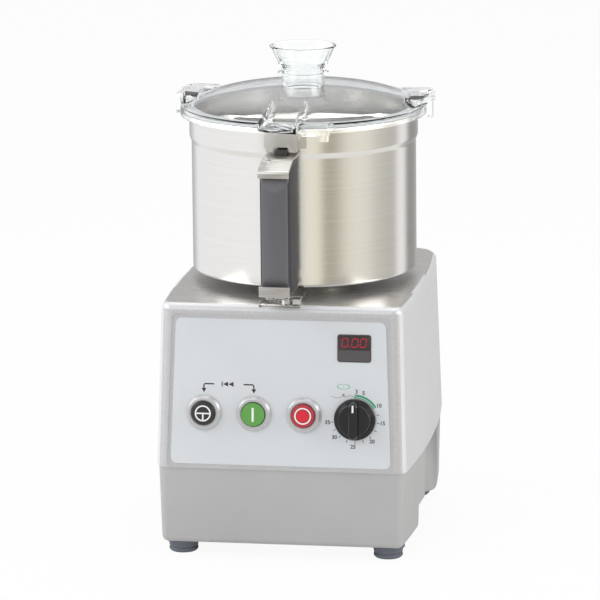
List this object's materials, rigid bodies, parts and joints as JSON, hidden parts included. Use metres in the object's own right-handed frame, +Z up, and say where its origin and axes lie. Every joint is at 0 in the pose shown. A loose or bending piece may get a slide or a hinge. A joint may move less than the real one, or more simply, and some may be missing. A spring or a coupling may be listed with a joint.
{
  "type": "vertical cutter mixer",
  "caption": "Table-top cutter mixer with a sloping control front, a lift-off steel bowl with a handle, spinning sabre blades on a hub, and a clear turning lid with a funnel.",
  "frame": {"origin": "middle of the footprint's box, at the level the feet stand on", "axes": "+Z up along the motor shaft, -Y to the control front and the bowl handle, +X to the right of someone facing the front"},
  "size_m": [0.2588, 0.3456, 0.4866],
  "materials": {
    "housing_grey": "satin light grey enamel",
    "skirt_grey": "moulded grey plastic",
    "foot_rubber": "dark blue-grey rubber",
    "label_grey": "printed pale grey panel",
    "display_tint": "dark red tinted window",
    "board_green": "printed circuit board",
    "bezel_grey": "satin silver plastic",
    "black_plastic": "black plastic",
    "green_cap": "green cap",
    "red_cap": "red cap",
    "grip_grey": "dark grey textured plastic",
    "bowl_steel": "brushed stainless steel",
    "strap_steel": "satin stainless steel",
    "cutter_steel": "ground stainless steel",
    "shaft_steel": "ground steel",
    "core_steel": "laminated steel",
    "winding_copper": "enamelled copper",
    "cast_alloy": "cast alloy",
    "seal_black": "black rubber",
    "seal_grey": "pale grey rubber",
    "nylon": "natural nylon",
    "clear_lid": "clear moulded plastic"
  },
  "bodies": {
    "motor_base": {"upper_housing": "housing_grey", "lower_skirt": "skirt_grey", "rubber_feet": "foot_rubber", "foot_screws": "shaft_steel", "chassis_plate": "cast_alloy", "control_panel": "label_grey", "display_window": "display_tint", "display_board": "board_green", "pulse_bezel": "bezel_grey", "start_bezel": "bezel_grey", "stop_bezel": "bezel_grey", "contact_blocks": "black_plastic", "potentiometer": "cast_alloy", "bowl_spigot": "cast_alloy", "shaft_seal": "seal_black", "upper_bell": "cast_alloy", "lower_bell": "cast_alloy", "upper_bearing": "shaft_steel", "lower_bearing": "shaft_steel", "stator_core": "core_steel", "stator_windings": "winding_copper", "motor_bolts": "shaft_steel", "drive_board": "board_green", "heat_sink": "cast_alloy", "capacitors": "black_plastic", "terminal_block": "nylon", "cable_gland": "black_plastic", "lock_catch": "strap_steel", "safety_switch": "black_plastic"},
    "motor_rotor": {"motor_shaft": "shaft_steel", "rotor_core": "core_steel", "cooling_fan": "black_plastic", "drive_pin": "shaft_steel"},
    "cutter": {"cutter_hub": "cutter_steel", "lower_blade": "cutter_steel", "blade_spacer": "cutter_steel", "upper_blade": "cutter_steel", "blade_nut": "cutter_steel", "cutter_cap": "black_plastic"},
    "seat": {"seat_ring": "nylon"},
    "bowl": {"bowl_shell": "bowl_steel", "bowl_hub": "bowl_steel", "handle_channel": "strap_steel", "handle_top_strap": "strap_steel", "handle_foot_strap": "strap_steel", "handle_grip": "grip_grey", "grip_bolt": "shaft_steel"},
    "rod": {"safety_rod": "black_plastic"},
    "plunger": {"switch_plunger": "red_cap"},
    "seal": {"lid_seal": "seal_grey"},
    "lid": {"lid_shell": "clear_lid"},
    "feed_funnel": {"funnel": "clear_lid"},
    "pulse": {"pulse_button": "black_plastic"},
    "start": {"start_button": "green_cap"},
    "stop": {"stop_button": "red_cap"},
    "speed": {"speed_knob": "black_plastic", "knob_spindle": "shaft_steel"}
  },
  "joints": [
    {"name": "motor_spin", "type": "hinge", "parent": "motor_base", "child": "motor_rotor", "pos_m": [0, 0.0122, 0.17], "axis": [0, 0, 1], "continuous": true},
    {"name": "blade_lift", "type": "slide", "parent": "motor_rotor", "child": "cutter", "axis": [0, 0, 1], "range_m": [0, 0.12]},
    {"name": "bowl_lift", "type": "slide", "parent": "motor_base", "child": "seat", "axis": [0, 0, 1], "range_m": [0, 0.12]},
    {"name": "bowl_turn", "type": "hinge", "parent": "seat", "child": "bowl", "pos_m": [0, 0.0122, 0.26], "axis": [0, 0, 1], "range_deg": [-20, 0]},
    {"name": "lid_lift", "type": "slide", "parent": "bowl", "child": "seal", "axis": [0, 0, 1], "range_m": [0, 0.06]},
    {"name": "lid_turn", "type": "hinge", "parent": "seal", "child": "lid", "pos_m": [0, 0.0122, 0.426], "axis": [0, 0, 1], "range_deg": [0, 25]},
    {"name": "funnel_lift", "type": "slide", "parent": "lid", "child": "feed_funnel", "axis": [0, 0, 1], "range_m": [0, 0.06]},
    {"name": "rod_rise", "type": "slide", "parent": "bowl", "child": "rod", "axis": [0, 0, 1], "range_m": [0, 0.002]},
    {"name": "plunger_rise", "type": "slide", "parent": "motor_base", "child": "plunger", "axis": [0, 0, 1], "range_m": [0, 0.002]},
    {"name": "pulse_press", "type": "slide", "parent": "motor_base", "child": "pulse", "axis": [0, 0.997, -0.0773], "range_m": [0, 0.003], "stiffness_N_per_m": 800},
    {"name": "start_press", "type": "slide", "parent": "motor_base", "child": "start", "axis": [0, 0.997, -0.0773], "range_m": [0, 0.003], "stiffness_N_per_m": 800},
    {"name": "stop_press", "type": "slide", "parent": "motor_base", "child": "stop", "axis": [0, 0.997, -0.0773], "range_m": [0, 0.003], "stiffness_N_per_m": 800},
    {"name": "speed_turn", "type": "hinge", "parent": "motor_base", "child": "speed", "pos_m": [0.0739, -0.14571, 0.14374], "axis": [0, 0.997, -0.0773], "range_deg": [0, 265]}
  ],
  "couplings": [
    {"joint": "blade_lift", "follows": "bowl_lift", "ratio": 1},
    {"joint": "rod_rise", "follows": "lid_turn", "m_per_rad": 0.00458},
    {"joint": "plunger_rise", "follows": "lid_turn", "m_per_rad": 0.00458}
  ]
}
